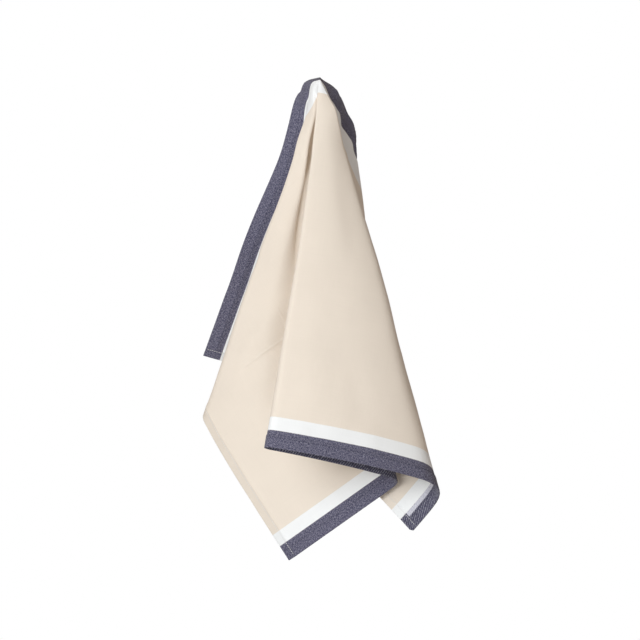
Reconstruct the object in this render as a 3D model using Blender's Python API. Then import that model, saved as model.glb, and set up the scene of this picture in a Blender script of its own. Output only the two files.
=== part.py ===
"""Cotton tea towel, hung from one point of a long edge and falling in soft pleats.

The towel is one flat hemmed cloth. Its flat pattern is drawn with the hang point at the origin, u along
the held edge and v down the cloth. Every pleat is a fold that runs out from the hang point, so the cloth
is a pleated cone: all cloth at one distance from the hang point lies on one folded cross-section.
That cross-section is described by the direction in which it runs across each face of the cloth.

World axes: +X to the right, +Y away from the viewer, +Z up. Origin at the hang point. Metres.
"""

import math
from collections import namedtuple

import bmesh
import bpy
from mathutils import Vector

# ---------------------------------------------------------------- the flat towel
TOWEL_SHORT_SIDE = 0.497
LEFT_OF_HANG_POINT = 0.392
RIGHT_OF_HANG_POINT = 0.338
BORDER_WIDTH = 0.022
BELOW_HANG_POINT = TOWEL_SHORT_SIDE - BORDER_WIDTH
SIDE_HEM_WIDTH = 0.012
GATHERED_RADIUS = 0.030

CLOTH_THICKNESS = 0.0012
HEM_THICKNESS = 0.0020

# ---------------------------------------------------------------- the pleats
# A row for each end of a face. flat: angle on the flat cloth from straight down, degrees.
# drift: how far the fold's line passes from the hang point, metres. The last four columns are the
# direction of the cross-section, in degrees (0 to the right, 90 away from the viewer), at the tip,
# just below it, a hand's width below it and low down. From an "end" row to the next "start" row the
# cloth turns round a fold.
Station = namedtuple("Station", "place flat drift tip upper middle lower")

STATIONS = (
    Station("left edge start", -90.0, 0.000, -64.0, -70.0, -48.0, 2.0),
    Station("left edge bend", -85.0, 0.000, -64.0, -68.0, -30.0, 4.0),
    Station("left edge end", -73.9, -0.010, -64.0, -66.0, -12.0, 4.0),
    Station("left inner start", -70.9, -0.010, -64.0, -74.0, -165.0, -176.0),
    Station("left inner end", -57.6, -0.013, -64.0, -74.0, -165.0, -176.0),
    Station("left face start", -54.4, -0.013, -64.0, -64.0, -44.0, -37.0),
    Station("left face bend", -42.0, 0.000, -60.0, -50.0, -26.0, -23.0),
    Station("left face end", -25.6, 0.000, -50.0, -28.0, -14.0, -15.0),
    Station("deep pleat start", -20.8, 0.000, -60.0, -155.0, -156.0, -156.0),
    Station("deep pleat end", -1.6, 0.000, -50.0, -155.0, -156.0, -156.0),
    Station("front face start", 1.8, 0.000, -15.0, 0.0, 0.0, 0.0),
    Station("front face bend", 12.0, 0.000, 0.0, 18.0, 16.0, 14.0),
    Station("front face belly", 17.0, 0.000, 10.0, 30.0, 26.0, 22.0),
    Station("front face end", 24.5, 0.000, 40.0, 52.0, 42.0, 38.0),
    Station("right inner start", 32.2, 0.000, 75.0, 120.0, 142.0, 148.0),
    Station("right inner bend", 38.0, 0.000, 80.0, 134.0, 156.0, 160.0),
    Station("right inner end", 53.0, 0.000, 80.0, 145.0, 162.0, 166.0),
    Station("right edge start", 58.5, 0.000, 82.0, 16.0, 7.0, 4.0),
    Station("right edge bend", 74.0, 0.000, 82.0, 50.0, 36.0, 20.0),
    Station("right edge end", 90.0, 0.000, 85.0, 72.0, 58.0, 34.0),
)
FOLD_STARTS = tuple(
    i for i, (here, after) in enumerate(zip(STATIONS, STATIONS[1:]))
    if here.place.endswith("end") and after.place.endswith("start")
)
TIGHTEST_TURN = 0.0015        # smallest radius of a fold
TIP_RADIUS = 0.005            # the tip column holds up to here
UPPER_RADIUS = 0.034          # the upper column holds here
MIDDLE_RADIUS = 0.090         # the middle column holds here
LOWER_RADIUS = 0.300          # the lower column holds from here on

# Where the front fold hangs: distance from the hang point, angle to the right, angle to the back.
FrontFold = namedtuple("FrontFold", "radius sideways backward")

FRONT_FOLD_FLAT = 0.2
FRONT_FOLD = (
    FrontFold(0.000, -9.0, -16.0),
    FrontFold(0.020, -8.0, -14.5),
    FrontFold(0.043, -5.9, -12.5),
    FrontFold(0.100, -5.9, -11.5),
    FrontFold(0.165, -6.6, -11.5),
    FrontFold(0.310, -7.8, -11.5),
    FrontFold(0.480, -8.3, -11.5),
)

# The right corner of the held edge rolls to the back about a line of its own.
ROLL_FROM_HANG_POINT = 0.128
ROLL_LINE_ANGLE = math.radians(61.0)
ROLL_RADIUS = 0.009
ROLL_LEAN = 0.12

# The border above the hang point falls over to the back.
OVER_THE_TOP = Vector((0.0, 0.99, 0.10))
OVER_REACH = 0.065

# ---------------------------------------------------------------- the mesh
CELLS_IN_A_FOLD = 5
CELLS_IN_A_FACE = {
    "left edge start": 3, "left edge bend": 2, "left inner start": 4, "left face start": 4,
    "left face bend": 5, "deep pleat start": 4, "front face start": 3, "front face bend": 2,
    "front face belly": 3, "right inner start": 2, "right inner bend": 4, "right edge start": 5,
    "right edge bend": 10,
}
CELLS_DOWN = 32
CELLS_ACROSS_BORDER = 3
ROW_CROWDING = 1.35           # rows lie closer together near the hang point
LEFT_CORNER = -math.degrees(math.atan2(LEFT_OF_HANG_POINT, BELOW_HANG_POINT))
RIGHT_CORNER = math.degrees(math.atan2(RIGHT_OF_HANG_POINT, BELOW_HANG_POINT))


def ease(t):
    """Smooth step from 0 to 1."""
    t = min(max(t, 0.0), 1.0)
    return t * t * (3.0 - 2.0 * t)


def stations_at(radius):
    """Flat angle and heading of every station at this distance from the hang point, in degrees."""
    to_upper = ease((radius - TIP_RADIUS) / (UPPER_RADIUS - TIP_RADIUS))
    to_middle = ease((radius - UPPER_RADIUS) / (MIDDLE_RADIUS - UPPER_RADIUS))
    to_lower = ease((radius - MIDDLE_RADIUS) / (LOWER_RADIUS - MIDDLE_RADIUS))
    flats, headings = [], []
    for row in STATIONS:
        headings.append(row.tip + (row.upper - row.tip) * to_upper
                        + (row.middle - row.upper) * to_middle
                        + (row.lower - row.middle) * to_lower)
        shift = max(-1.0, min(1.0, row.drift / max(radius, 0.040)))
        flats.append(max(-90.0, min(90.0, row.flat + math.degrees(math.asin(shift)))))
    for i in FOLD_STARTS:
        middle = 0.5 * (flats[i] + flats[i + 1])
        half = 0.5 * (flats[i + 1] - flats[i])
        half_turn = abs(headings[i + 1] - headings[i]) / 180.0
        needed = math.degrees(0.5 * math.pi * TIGHTEST_TURN * half_turn / max(radius, 1e-6))
        room = 0.9 * min(middle - flats[i - 1], flats[i + 2] - middle)
        half = min(max(half, needed), room)
        flats[i], flats[i + 1] = middle - half, middle + half
    for i in range(1, len(flats)):
        flats[i] = max(flats[i], flats[i - 1])
    return flats, headings


def front_fold_at(radius):
    """Where the front fold hangs at this distance: degrees sideways and backward."""
    for near, far in zip(FRONT_FOLD, FRONT_FOLD[1:]):
        if radius <= far.radius:
            share = (radius - near.radius) / (far.radius - near.radius)
            return (near.sideways + (far.sideways - near.sideways) * share,
                    near.backward + (far.backward - near.backward) * share)
    return FRONT_FOLD[-1].sideways, FRONT_FOLD[-1].backward


def arc_step(span, start, end):
    """Sideways and backward travel along an arc whose heading turns evenly, all in degrees."""
    turn = math.radians(end - start)
    first = math.radians(start)
    if abs(turn) < 1e-4:
        return span * math.cos(first + 0.5 * turn), span * math.sin(first + 0.5 * turn)
    last = first + turn
    return (span * (math.sin(last) - math.sin(first)) / turn,
            span * (math.cos(first) - math.cos(last)) / turn)


def travel(flats, headings, flat):
    """Travel of the cross-section from the left edge to a flat angle."""
    sideways = backward = 0.0
    for i in range(len(flats) - 1):
        span = flats[i + 1] - flats[i]
        if span <= 0.0:
            continue
        share = min(1.0, (flat - flats[i]) / span)
        if share <= 0.0:
            break
        end = headings[i] + (headings[i + 1] - headings[i]) * share
        step = arc_step(span * share, headings[i], end)
        sideways += step[0]
        backward += step[1]
    return sideways, backward


def cone_point(radius, flat):
    """World place of the cloth at a distance from the hang point and a flat angle in degrees."""
    if radius <= 0.0:
        return Vector((0.0, 0.0, 0.0))
    flats, headings = stations_at(radius)
    here = travel(flats, headings, flat)
    fold = travel(flats, headings, FRONT_FOLD_FLAT)
    place = front_fold_at(radius)
    sideways = math.radians(place[0] + here[0] - fold[0])
    backward = math.radians(place[1] + here[1] - fold[1])
    swing = math.hypot(sideways, backward)
    spread = math.sin(swing) / swing if swing > 1e-9 else 1.0
    return radius * Vector((sideways * spread, backward * spread, -math.cos(swing)))


def border_point(u, above):
    """World place of the border above the hang point's level, by distance along and above it."""
    side = -1.0 if u < 0.0 else 1.0
    radius = abs(u)
    edge = cone_point(radius, 90.0 * side)
    outward = edge - cone_point(radius, 89.0 * side)
    share = ease(radius / OVER_REACH)
    if radius > 0.0:
        outward = outward.normalized() * share + OVER_THE_TOP * (1.0 - share)
    else:
        outward = OVER_THE_TOP.copy()
    return edge + outward.normalized() * above


def pleated_point(u, v):
    """World place of a flat point before the corner rolls."""
    if v < 0.0:
        return border_point(u, -v)
    return cone_point(math.hypot(u, v), math.degrees(math.atan2(u, v)))


def hung_point(u, v):
    """World place of a flat point of the cloth."""
    line_u, line_v = math.sin(ROLL_LINE_ANGLE), math.cos(ROLL_LINE_ANGLE)
    past = (u - ROLL_FROM_HANG_POINT) * line_v - v * line_u
    if past <= 0.0:
        return pleated_point(u, v)
    foot_u, foot_v = u - past * line_v, v + past * line_u
    foot = pleated_point(foot_u, foot_v)
    small = 0.004
    across = (foot - pleated_point(foot_u - small * line_v, foot_v + small * line_u)).normalized()
    along = (foot - pleated_point(foot_u - small * line_u, foot_v - small * line_v)).normalized()
    backward = along.cross(across).normalized()
    if backward.y < 0.0:
        backward.negate()
    turn = min(past / ROLL_RADIUS, math.pi)
    rest = max(past - math.pi * ROLL_RADIUS, 0.0)
    return (foot + across * (ROLL_RADIUS * math.sin(turn) - rest)
            + backward * (ROLL_RADIUS * (1.0 - math.cos(turn)) + ROLL_LEAN * rest))


def reach(flat):
    """Distance from the hang point to the towel's edge along a flat angle."""
    angle = math.radians(flat)
    down = math.cos(angle)
    side = abs(math.sin(angle))
    width = LEFT_OF_HANG_POINT if flat < 0.0 else RIGHT_OF_HANG_POINT
    to_bottom = BELOW_HANG_POINT / down if down > 1e-6 else math.inf
    to_side = width / side if side > 1e-6 else math.inf
    return min(to_bottom, to_side)


def column_stops():
    """Column places as (station index, share of the way to the next station)."""
    stops = []
    for i, row in enumerate(STATIONS[:-1]):
        cells = CELLS_IN_A_FOLD if i in FOLD_STARTS else CELLS_IN_A_FACE[row.place]
        stops += [(i, n / cells) for n in range(cells)]
        for corner in (LEFT_CORNER, RIGHT_CORNER):
            share = (corner - row.flat) / (STATIONS[i + 1].flat - row.flat)
            if 0.0 < share < 1.0:
                these = range(len(stops) - cells, len(stops))
                nearest = min(these, key=lambda n: abs(stops[n][1] - share))
                stops[nearest] = (i, share)
    stops.append((len(STATIONS) - 2, 1.0))
    return stops


def flat_place(stop, share_down):
    """Flat point on a column that keeps to its own face or fold all the way down."""
    i, share = stop
    flat = STATIONS[i].flat + (STATIONS[i + 1].flat - STATIONS[i].flat) * share
    for _ in range(4):
        radius = reach(flat) * share_down
        flats, _ = stations_at(radius)
        flat = flats[i] + (flats[i + 1] - flats[i]) * share
    angle = math.radians(flat)
    return radius * math.sin(angle), radius * math.cos(angle)


def add_grid(mesh, columns, rows, place_of):
    """Add a grid and move each of its points to place_of(column, row), which gives a flat point."""
    grid = bmesh.ops.create_grid(mesh, x_segments=columns, y_segments=rows, size=1.0)
    for vert in grid["verts"]:
        column = round((vert.co.x + 1.0) * 0.5 * columns)
        row = round((1.0 - vert.co.y) * 0.5 * rows)
        u, v = place_of(column, row)
        vert.co = Vector((u, 0.0, -v))


def flat_pattern():
    """The towel laid out flat: a fan below the hang point and the border above it on either side."""
    mesh = bmesh.new()
    stops = column_stops()
    downs = [(n / CELLS_DOWN) ** ROW_CROWDING for n in range(CELLS_DOWN + 1)]
    add_grid(mesh, len(stops) - 1, CELLS_DOWN, lambda c, r: flat_place(stops[c], downs[r]))

    def border(side, width):
        def place(column, row):
            along = downs[CELLS_DOWN - column] if side < 0 else downs[column]
            return side * width * along, -BORDER_WIDTH * (1.0 - row / CELLS_ACROSS_BORDER)
        return place

    add_grid(mesh, CELLS_DOWN, CELLS_ACROSS_BORDER, border(-1, LEFT_OF_HANG_POINT))
    add_grid(mesh, CELLS_DOWN, CELLS_ACROSS_BORDER, border(1, RIGHT_OF_HANG_POINT))
    bmesh.ops.remove_doubles(mesh, verts=mesh.verts, dist=1e-6)
    bmesh.ops.recalc_face_normals(mesh, faces=mesh.faces)
    if sum(face.normal.y for face in mesh.faces) > 0.0:
        bmesh.ops.reverse_faces(mesh, faces=mesh.faces)
    return mesh


def in_a_hem(u, v):
    """True in the turned hems, except where the held edge is gathered at the hang point."""
    if math.hypot(u, v) < GATHERED_RADIUS:
        return False
    from_side = min(LEFT_OF_HANG_POINT + u, RIGHT_OF_HANG_POINT - u)
    from_end = min(v + BORDER_WIDTH, BELOW_HANG_POINT - v)
    return from_side < SIDE_HEM_WIDTH + 1e-6 or from_end < SIDE_HEM_WIDTH + 1e-6


def make_material():
    """Unbleached cotton, matt."""
    material = bpy.data.materials.new("cream_cotton")
    material.use_nodes = True
    shader = material.node_tree.nodes["Principled BSDF"]
    shader.inputs["Base Color"].default_value = (0.83, 0.75, 0.65, 1.0)
    shader.inputs["Roughness"].default_value = 0.9
    shader.inputs["Metallic"].default_value = 0.0
    return material


def make_towel():
    """The hung cloth with its hems, one closed body."""
    pattern = flat_pattern()
    hemmed = []
    for vert in pattern.verts:
        u, v = vert.co.x, -vert.co.z
        if in_a_hem(u, v):
            hemmed.append(vert.index)
        vert.co = hung_point(u, v)
    data = bpy.data.meshes.new("towel_cloth")
    pattern.to_mesh(data)
    pattern.free()
    data.materials.append(make_material())
    data.shade_smooth()
    towel = bpy.data.objects.new("towel_cloth", data)
    bpy.context.collection.objects.link(towel)
    hems = towel.vertex_groups.new(name="hems")
    hems.add(hemmed, 1.0, "REPLACE")
    cloth = towel.modifiers.new("cloth_and_hem_thickness", "SOLIDIFY")
    cloth.thickness = HEM_THICKNESS
    cloth.offset = 0.0
    cloth.use_even_offset = False
    cloth.vertex_group = hems.name
    cloth.thickness_vertex_group = CLOTH_THICKNESS / HEM_THICKNESS
    return towel


for leftover in list(bpy.data.objects):
    bpy.data.objects.remove(leftover, do_unlink=True)

make_towel()
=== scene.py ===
# %% [markdown]
# # A cotton tea towel, hung by one point of its long edge
# A tea towel is a thin rectangle of woven cotton with four turned hems. This one is cream, with a white
# stripe and a heathered navy border along each long edge. It hangs from one point of a long edge and falls
# in soft pleats, so most of its look comes from how the cloth runs through space, and the rest from
# what the weaver and the sewer did. The lesson makes the flat towel first, hangs it with a formula,
# then adds creases, hems, stitches and the woven finish.
#
# The hidden model that the towel must match is loaded first. Its parts are kept, with their places
# applied to their meshes.

# %% Load the fixed frame
import math
from collections import namedtuple

import bmesh
import bpy
from mathutils import Matrix, Vector, noise


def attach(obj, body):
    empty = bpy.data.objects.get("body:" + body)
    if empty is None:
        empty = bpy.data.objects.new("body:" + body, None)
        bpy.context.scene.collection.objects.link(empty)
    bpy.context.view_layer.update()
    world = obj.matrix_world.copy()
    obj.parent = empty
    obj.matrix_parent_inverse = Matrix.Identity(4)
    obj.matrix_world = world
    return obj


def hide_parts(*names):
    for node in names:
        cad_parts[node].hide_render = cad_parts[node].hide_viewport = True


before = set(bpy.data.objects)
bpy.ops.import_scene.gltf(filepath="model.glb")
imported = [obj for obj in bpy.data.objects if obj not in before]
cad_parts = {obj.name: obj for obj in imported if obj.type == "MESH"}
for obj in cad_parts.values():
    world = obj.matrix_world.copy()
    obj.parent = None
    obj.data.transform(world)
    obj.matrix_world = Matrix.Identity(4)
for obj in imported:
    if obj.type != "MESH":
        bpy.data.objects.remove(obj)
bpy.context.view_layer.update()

# %% [markdown]
# ## The flat towel
# A cloth is easiest to describe before it is hung. Every point of the towel has two flat sizes: u runs
# along the held long edge, and v runs down the cloth. Zero is the point that the towel hangs from, on
# the line where the navy border meets the white stripe. All sizes are in metres, as a sewer would
# measure them on the table.

# %% Sizes of the flat towel
SHORT_SIDE = 0.497
LEFT_OF_HANG_POINT = 0.392
RIGHT_OF_HANG_POINT = 0.338
NAVY_BORDER = 0.022
WHITE_STRIPE = 0.017
BELOW_HANG_POINT = SHORT_SIDE - NAVY_BORDER
SIDE_HEM = 0.012
END_HEM = 0.016
GATHERED_RADIUS = 0.030

# %% [markdown]
# ## How the towel is pleated
# Cloth that hangs from one point makes a pleated cone: each fold is a straight line that runs out from the
# point, and all cloth at one distance from it lies on one folded cross-section. So the whole drape is
# a table. It follows the cross-section from the left edge of the towel to the right one. Each row says
# how far round the flat cloth a place is, and in which direction the cloth runs there: 0 is to the
# right, 90 away from the viewer. The direction changes down the towel, so there is a column for the
# tip, one just below it, one a hand's width down and one low down. From an "end" row to the next
# "start" row, the cloth turns round a fold. The drift, in metres, shifts a row aside on the cloth, because
# not every fold points exactly at the hang point. Close to that point the shift is held back. A cloth
# simulation would also make pleats, but not these pleats, and it would be different after every change.

# %% The pleats, from left to right
Station = namedtuple("Station", "place flat drift tip upper middle lower")

STATIONS = (
    Station("left edge start", -90.0, 0.000, -58.0, -52.0, -22.0, 12.0),
    Station("left edge bend", -85.0, 0.000, -60.0, -58.0, -28.0, 12.0),
    Station("left edge end", -73.9, -0.010, -62.0, -64.0, -12.0, 10.0),
    Station("left inner start", -70.9, -0.010, -64.0, -74.0, -165.0, -176.0),
    Station("left inner end", -57.6, -0.013, -64.0, -74.0, -165.0, -176.0),
    Station("left face start", -54.4, -0.013, -64.0, -64.0, -44.0, -34.0),
    Station("left face shoulder", -49.0, -0.006, -60.0, -56.0, -36.0, -27.0),
    Station("left face valley side", -45.6, -0.0015, -52.0, 46.0, 48.0, -22.0),
    Station("left face valley floor", -38.0, 0.000, -50.0, -42.0, -18.0, -22.0),
    Station("left face end", -25.6, 0.000, -50.0, -52.0, -36.0, -20.0),
    Station("deep pleat start", -20.8, 0.000, -60.0, -155.0, -156.0, -142.0),
    Station("deep pleat bend", -13.0, 0.000, -55.0, -155.0, -156.0, -154.0),
    Station("deep pleat end", -1.6, 0.000, -50.0, -155.0, -156.0, -168.0),
    Station("front face start", 1.8, 0.000, -15.0, -4.0, 0.0, 0.0),
    Station("front face bend", 12.0, 0.000, 0.0, 4.0, 14.0, 13.0),
    Station("front face belly", 17.0, 0.000, 10.0, 10.0, 28.0, 19.0),
    Station("front face end", 23.4, 0.0065, 36.0, 28.0, 48.0, 32.0),
    Station("right inner start", 31.1, 0.0065, 75.0, 138.0, 138.0, 140.0),
    Station("right inner bend", 38.0, 0.000, 80.0, 154.0, 154.0, 156.0),
    Station("right inner end", 53.0, 0.000, 80.0, 160.0, 162.0, 166.0),
    Station("right edge start", 58.5, 0.000, 82.0, 32.0, 16.0, 4.0),
    Station("right edge bend", 74.0, 0.000, 82.0, 70.0, 48.0, 20.0),
    Station("right edge end", 90.0, 0.000, 85.0, 72.0, 62.0, 38.0),
)
FOLD_STARTS = tuple(
    i for i, (here, after) in enumerate(zip(STATIONS, STATIONS[1:]))
    if here.place.endswith("end") and after.place.endswith("start")
)
print(len(STATIONS), "places and", len(FOLD_STARTS), "folds")

# %% [markdown]
# ## The cross-section at one distance
# The directions of the four columns are blended with a smooth step, so no line shows where one column
# hands over to the next. Cotton of this weight can't be folded to nothing, so each fold is opened until
# its radius is at least a millimetre and a half. Near the tip that needs more of the cloth, but never more
# than nine tenths of the room between the fold's neighbours.

# %% Directions at one distance from the hang point
TIGHTEST_TURN = 0.0015
TIP_RADIUS = 0.005
UPPER_RADIUS = 0.034
MIDDLE_RADIUS = 0.090
LOWER_RADIUS = 0.300
DRIFT_HELD_BELOW = 0.040
LARGEST_SHARE_OF_ROOM = 0.9


def ease(t):
    """Smooth step from 0 to 1."""
    t = min(max(t, 0.0), 1.0)
    return t * t * (3.0 - 2.0 * t)


def stations_at(radius):
    """Flat angle and direction of every station at this distance, in degrees."""
    to_upper = ease((radius - TIP_RADIUS) / (UPPER_RADIUS - TIP_RADIUS))
    to_middle = ease((radius - UPPER_RADIUS) / (MIDDLE_RADIUS - UPPER_RADIUS))
    to_lower = ease((radius - MIDDLE_RADIUS) / (LOWER_RADIUS - MIDDLE_RADIUS))
    flats, headings = [], []
    for row in STATIONS:
        headings.append(row.tip + (row.upper - row.tip) * to_upper
                        + (row.middle - row.upper) * to_middle
                        + (row.lower - row.middle) * to_lower)
        shift = max(-1.0, min(1.0, row.drift / max(radius, DRIFT_HELD_BELOW)))
        flats.append(max(-90.0, min(90.0, row.flat + math.degrees(math.asin(shift)))))
    for i in FOLD_STARTS:
        middle = 0.5 * (flats[i] + flats[i + 1])
        half = 0.5 * (flats[i + 1] - flats[i])
        half_turn = abs(headings[i + 1] - headings[i]) / 180.0
        needed = math.degrees(0.5 * math.pi * TIGHTEST_TURN * half_turn / max(radius, 1e-6))
        room = LARGEST_SHARE_OF_ROOM * min(middle - flats[i - 1], flats[i + 2] - middle)
        half = min(max(half, needed), room)
        flats[i], flats[i + 1] = middle - half, middle + half
    for i in range(1, len(flats)):
        flats[i] = max(flats[i], flats[i - 1])
    return flats, headings


# %% [markdown]
# Between two stations the direction turns evenly, so each stretch of the cross-section is a piece of a
# circle. Adding the pieces up from the left edge gives the place of any flat angle.

# %% Travel along the cross-section
def arc_step(span, start, end):
    """Sideways and backward travel along an arc whose direction turns evenly, all in degrees."""
    turn = math.radians(end - start)
    first = math.radians(start)
    if abs(turn) < 1e-4:
        return span * math.cos(first + 0.5 * turn), span * math.sin(first + 0.5 * turn)
    last = first + turn
    return (span * (math.sin(last) - math.sin(first)) / turn,
            span * (math.cos(first) - math.cos(last)) / turn)


def travel(flats, headings, flat):
    """Travel of the cross-section from the left edge to a flat angle."""
    sideways = backward = 0.0
    for i in range(len(flats) - 1):
        span = flats[i + 1] - flats[i]
        if span <= 0.0:
            continue
        share = min(1.0, (flat - flats[i]) / span)
        if share <= 0.0:
            break
        end = headings[i] + (headings[i + 1] - headings[i]) * share
        step = arc_step(span * share, headings[i], end)
        sideways += step[0]
        backward += step[1]
    return sideways, backward


low_section = travel(*stations_at(0.4), 90.0)
print("low cross-section ends", [round(x) for x in low_section], "degrees right and back of its start")

# %% [markdown]
# ## Where the front fold hangs
# The cross-section still has to be placed. The front fold is the one that the eye follows from the hang
# point down to the lowest border, so it is the line that everything hangs from. It is given as a few
# angles to the left and towards the viewer.

# %% Place of the cloth in space
FrontFold = namedtuple("FrontFold", "radius sideways backward")

FRONT_FOLD_FLAT = 0.2
FRONT_FOLD = (
    FrontFold(0.000, -9.0, -16.0),
    FrontFold(0.020, -8.0, -14.5),
    FrontFold(0.043, -5.9, -12.5),
    FrontFold(0.100, -5.9, -11.5),
    FrontFold(0.165, -6.6, -11.5),
    FrontFold(0.310, -7.8, -11.5),
    FrontFold(0.480, -8.3, -11.5),
)


def front_fold_at(radius):
    """Where the front fold hangs at this distance: degrees sideways and backward."""
    for near, far in zip(FRONT_FOLD, FRONT_FOLD[1:]):
        if radius <= far.radius:
            share = (radius - near.radius) / (far.radius - near.radius)
            return (near.sideways + (far.sideways - near.sideways) * share,
                    near.backward + (far.backward - near.backward) * share)
    return FRONT_FOLD[-1].sideways, FRONT_FOLD[-1].backward


def cone_point(radius, flat):
    """World place of the cloth at a distance from the hang point and a flat angle in degrees."""
    if radius <= 0.0:
        return Vector((0.0, 0.0, 0.0))
    flats, headings = stations_at(radius)
    here = travel(flats, headings, flat)
    fold = travel(flats, headings, FRONT_FOLD_FLAT)
    place = front_fold_at(radius)
    sideways = math.radians(place[0] + here[0] - fold[0])
    backward = math.radians(place[1] + here[1] - fold[1])
    swing = math.hypot(sideways, backward)
    spread = math.sin(swing) / swing if swing > 1e-9 else 1.0
    return radius * Vector((sideways * spread, backward * spread, -math.cos(swing)))


print("front fold meets the hem at", [round(1000 * x) for x in cone_point(BELOW_HANG_POINT, 0.0)], "mm")

# %% [markdown]
# ## The border above the hang point, and the rolled corner
# The hang point is on the line between the border and the stripe, so the navy border lies above it. Far from
# the hang point it simply goes on from the cloth beside it. At the point itself it has nothing to hang
# from, and falls over to the back.
#
# The right corner of the held edge doesn't stay flat either: it rolls to the back about a line of its own,
# like the corner of a page. That is a bend about a straight line, so it is worked out from the
# distance past that line.

# %% The hung towel, point by point
ROLL_FROM_HANG_POINT = 0.126
ROLL_LINE_ANGLE = math.radians(60.0)
ROLL_RADIUS = 0.009
ROLL_LEAN = 0.24
OVER_THE_TOP = Vector((0.0, 0.98, 0.20))
OVER_THE_LEFT = Vector((-0.38, 0.90, -0.08))
OVER_THE_RIGHT = Vector((0.66, 0.74, -0.04))
TOP_REACH = 0.028
OVER_REACH = 0.065
ROLL_STEP = 0.004


def border_point(u, above):
    """World place of the border above the hang point's level."""
    side = -1.0 if u < 0.0 else 1.0
    radius = abs(u)
    edge = cone_point(radius, 90.0 * side)
    outward = OVER_THE_TOP.lerp(OVER_THE_LEFT if side < 0.0 else OVER_THE_RIGHT, ease(radius / TOP_REACH))
    if radius > 0.0:
        beside = (edge - cone_point(radius, 89.0 * side)).normalized()
        outward = outward.lerp(beside, ease(radius / OVER_REACH))
    return edge + outward.normalized() * above


def pleated_point(u, v):
    """World place of a flat point before the corner rolls."""
    if v < 0.0:
        return border_point(u, -v)
    return cone_point(math.hypot(u, v), math.degrees(math.atan2(u, v)))


def hung_point(u, v):
    """World place of a flat point of the towel."""
    line_u, line_v = math.sin(ROLL_LINE_ANGLE), math.cos(ROLL_LINE_ANGLE)
    past = (u - ROLL_FROM_HANG_POINT) * line_v - v * line_u
    if past <= 0.0:
        return pleated_point(u, v)
    foot_u, foot_v = u - past * line_v, v + past * line_u
    foot = pleated_point(foot_u, foot_v)
    inside = pleated_point(foot_u - ROLL_STEP * line_v, foot_v + ROLL_STEP * line_u)
    beside = pleated_point(foot_u - ROLL_STEP * line_u, foot_v - ROLL_STEP * line_v)
    across = (foot - inside).normalized()
    along = (foot - beside).normalized()
    backward = along.cross(across).normalized()
    if backward.y < 0.0:
        backward.negate()
    turn = min(past / ROLL_RADIUS, math.pi)
    rest = max(past - math.pi * ROLL_RADIUS, 0.0)
    return (foot + across * (ROLL_RADIUS * math.sin(turn) - rest)
            + backward * (ROLL_RADIUS * (1.0 - math.cos(turn)) + ROLL_LEAN * rest))


print("left corner", [round(1000 * x) for x in hung_point(-LEFT_OF_HANG_POINT, -NAVY_BORDER)], "mm")

# %% [markdown]
# ## Creases and troughs
# A perfect cone looks like paper. Real cloth keeps soft troughs from how it was stored and held. Each row
# below is one of them: a line from start to end on the flat towel, its half width, and how far it
# stands forward (or back, if negative). The first three are deep. They make the valley where the left
# face runs in under the front fold. They already cut into the layers behind them, which shows from the
# left, so they shouldn't be made wider or deeper. The others are shallow, because the photographed
# cotton has been ironed. A little unevenness at the size of a hand is added everywhere. All of it
# fades out at the tip.

# %% Soft creases
Crease = namedtuple("Crease", "place start end width rise")

CREASES = (
    Crease("top of the deep fold", (-0.025, 0.026), (-0.090, 0.090), 0.0075, -0.0120),
    Crease("valley beside the deep fold", (-0.056, 0.054), (-0.336, 0.347), 0.0180, -0.0175),
    Crease("slope beside the front fold", (-0.130, 0.156), (-0.330, 0.420), 0.0280, -0.0150),
    Crease("hollow below the front fold", (-0.225, 0.330), (-0.315, 0.460), 0.040, -0.0020),
    Crease("ridge left of that valley", (-0.272, 0.208), (-0.386, 0.300), 0.020, 0.0020),
    Crease("upper edge of the old fold", (-0.196, 0.196), (-0.304, 0.222), 0.008, 0.0012),
    Crease("lower side of the old fold", (-0.210, 0.236), (-0.310, 0.246), 0.012, -0.0022),
    Crease("dent under the left border", (-0.215, 0.120), (-0.200, 0.160), 0.014, -0.0012),
    Crease("soft band on the left face", (-0.090, 0.070), (-0.190, 0.150), 0.010, -0.0008),
    Crease("dip near the lower hem", (-0.285, 0.440), (-0.235, 0.385), 0.020, -0.0014),
    Crease("swell over the left hem corner", (-0.360, 0.420), (-0.300, 0.360), 0.024, 0.0016),
    Crease("soft band on the front face", (0.036, 0.090), (0.078, 0.230), 0.012, -0.0009),
    Crease("long trough on the right", (0.146, 0.268), (0.206, 0.405), 0.014, -0.0020),
    Crease("ridge beside the right fold", (0.160, 0.250), (0.232, 0.400), 0.012, 0.0012),
    Crease("dip on the front face", (0.100, 0.360), (0.122, 0.425), 0.018, -0.0010),
    Crease("swell on the front face", (0.040, 0.300), (0.056, 0.440), 0.022, 0.0012),
    Crease("wave at the front hem", (0.060, 0.475), (0.066, 0.425), 0.012, -0.0010),
    Crease("wave at the hem's right end", (0.140, 0.475), (0.136, 0.430), 0.013, 0.0012),
    Crease("wave in the right border", (0.050, -0.022), (0.056, 0.012), 0.009, 0.0034),
    Crease("hollow in the right border", (0.074, -0.022), (0.080, 0.014), 0.009, -0.0034),
    Crease("second wave in the right border", (0.102, -0.022), (0.106, 0.020), 0.010, 0.0028),
    Crease("wave in the left border", (-0.150, -0.022), (-0.146, 0.020), 0.020, 0.0012),
    Crease("hollow in the left border", (-0.250, -0.022), (-0.246, 0.030), 0.026, -0.0014),
    Crease("wave in the right side hem", (0.338, 0.200), (0.290, 0.210), 0.018, 0.0018),
    Crease("hollow in the right side hem", (0.338, 0.300), (0.285, 0.310), 0.020, -0.0018),
    Crease("wave in the left side hem", (-0.392, 0.150), (-0.340, 0.150), 0.018, 0.0016),
)
CREASE_REACH = 3.0
CREASE_TAPER = 0.35
UNEVEN_RISE = 0.00045
UNEVEN_LENGTH = 0.050
FINER = 2.3
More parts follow.
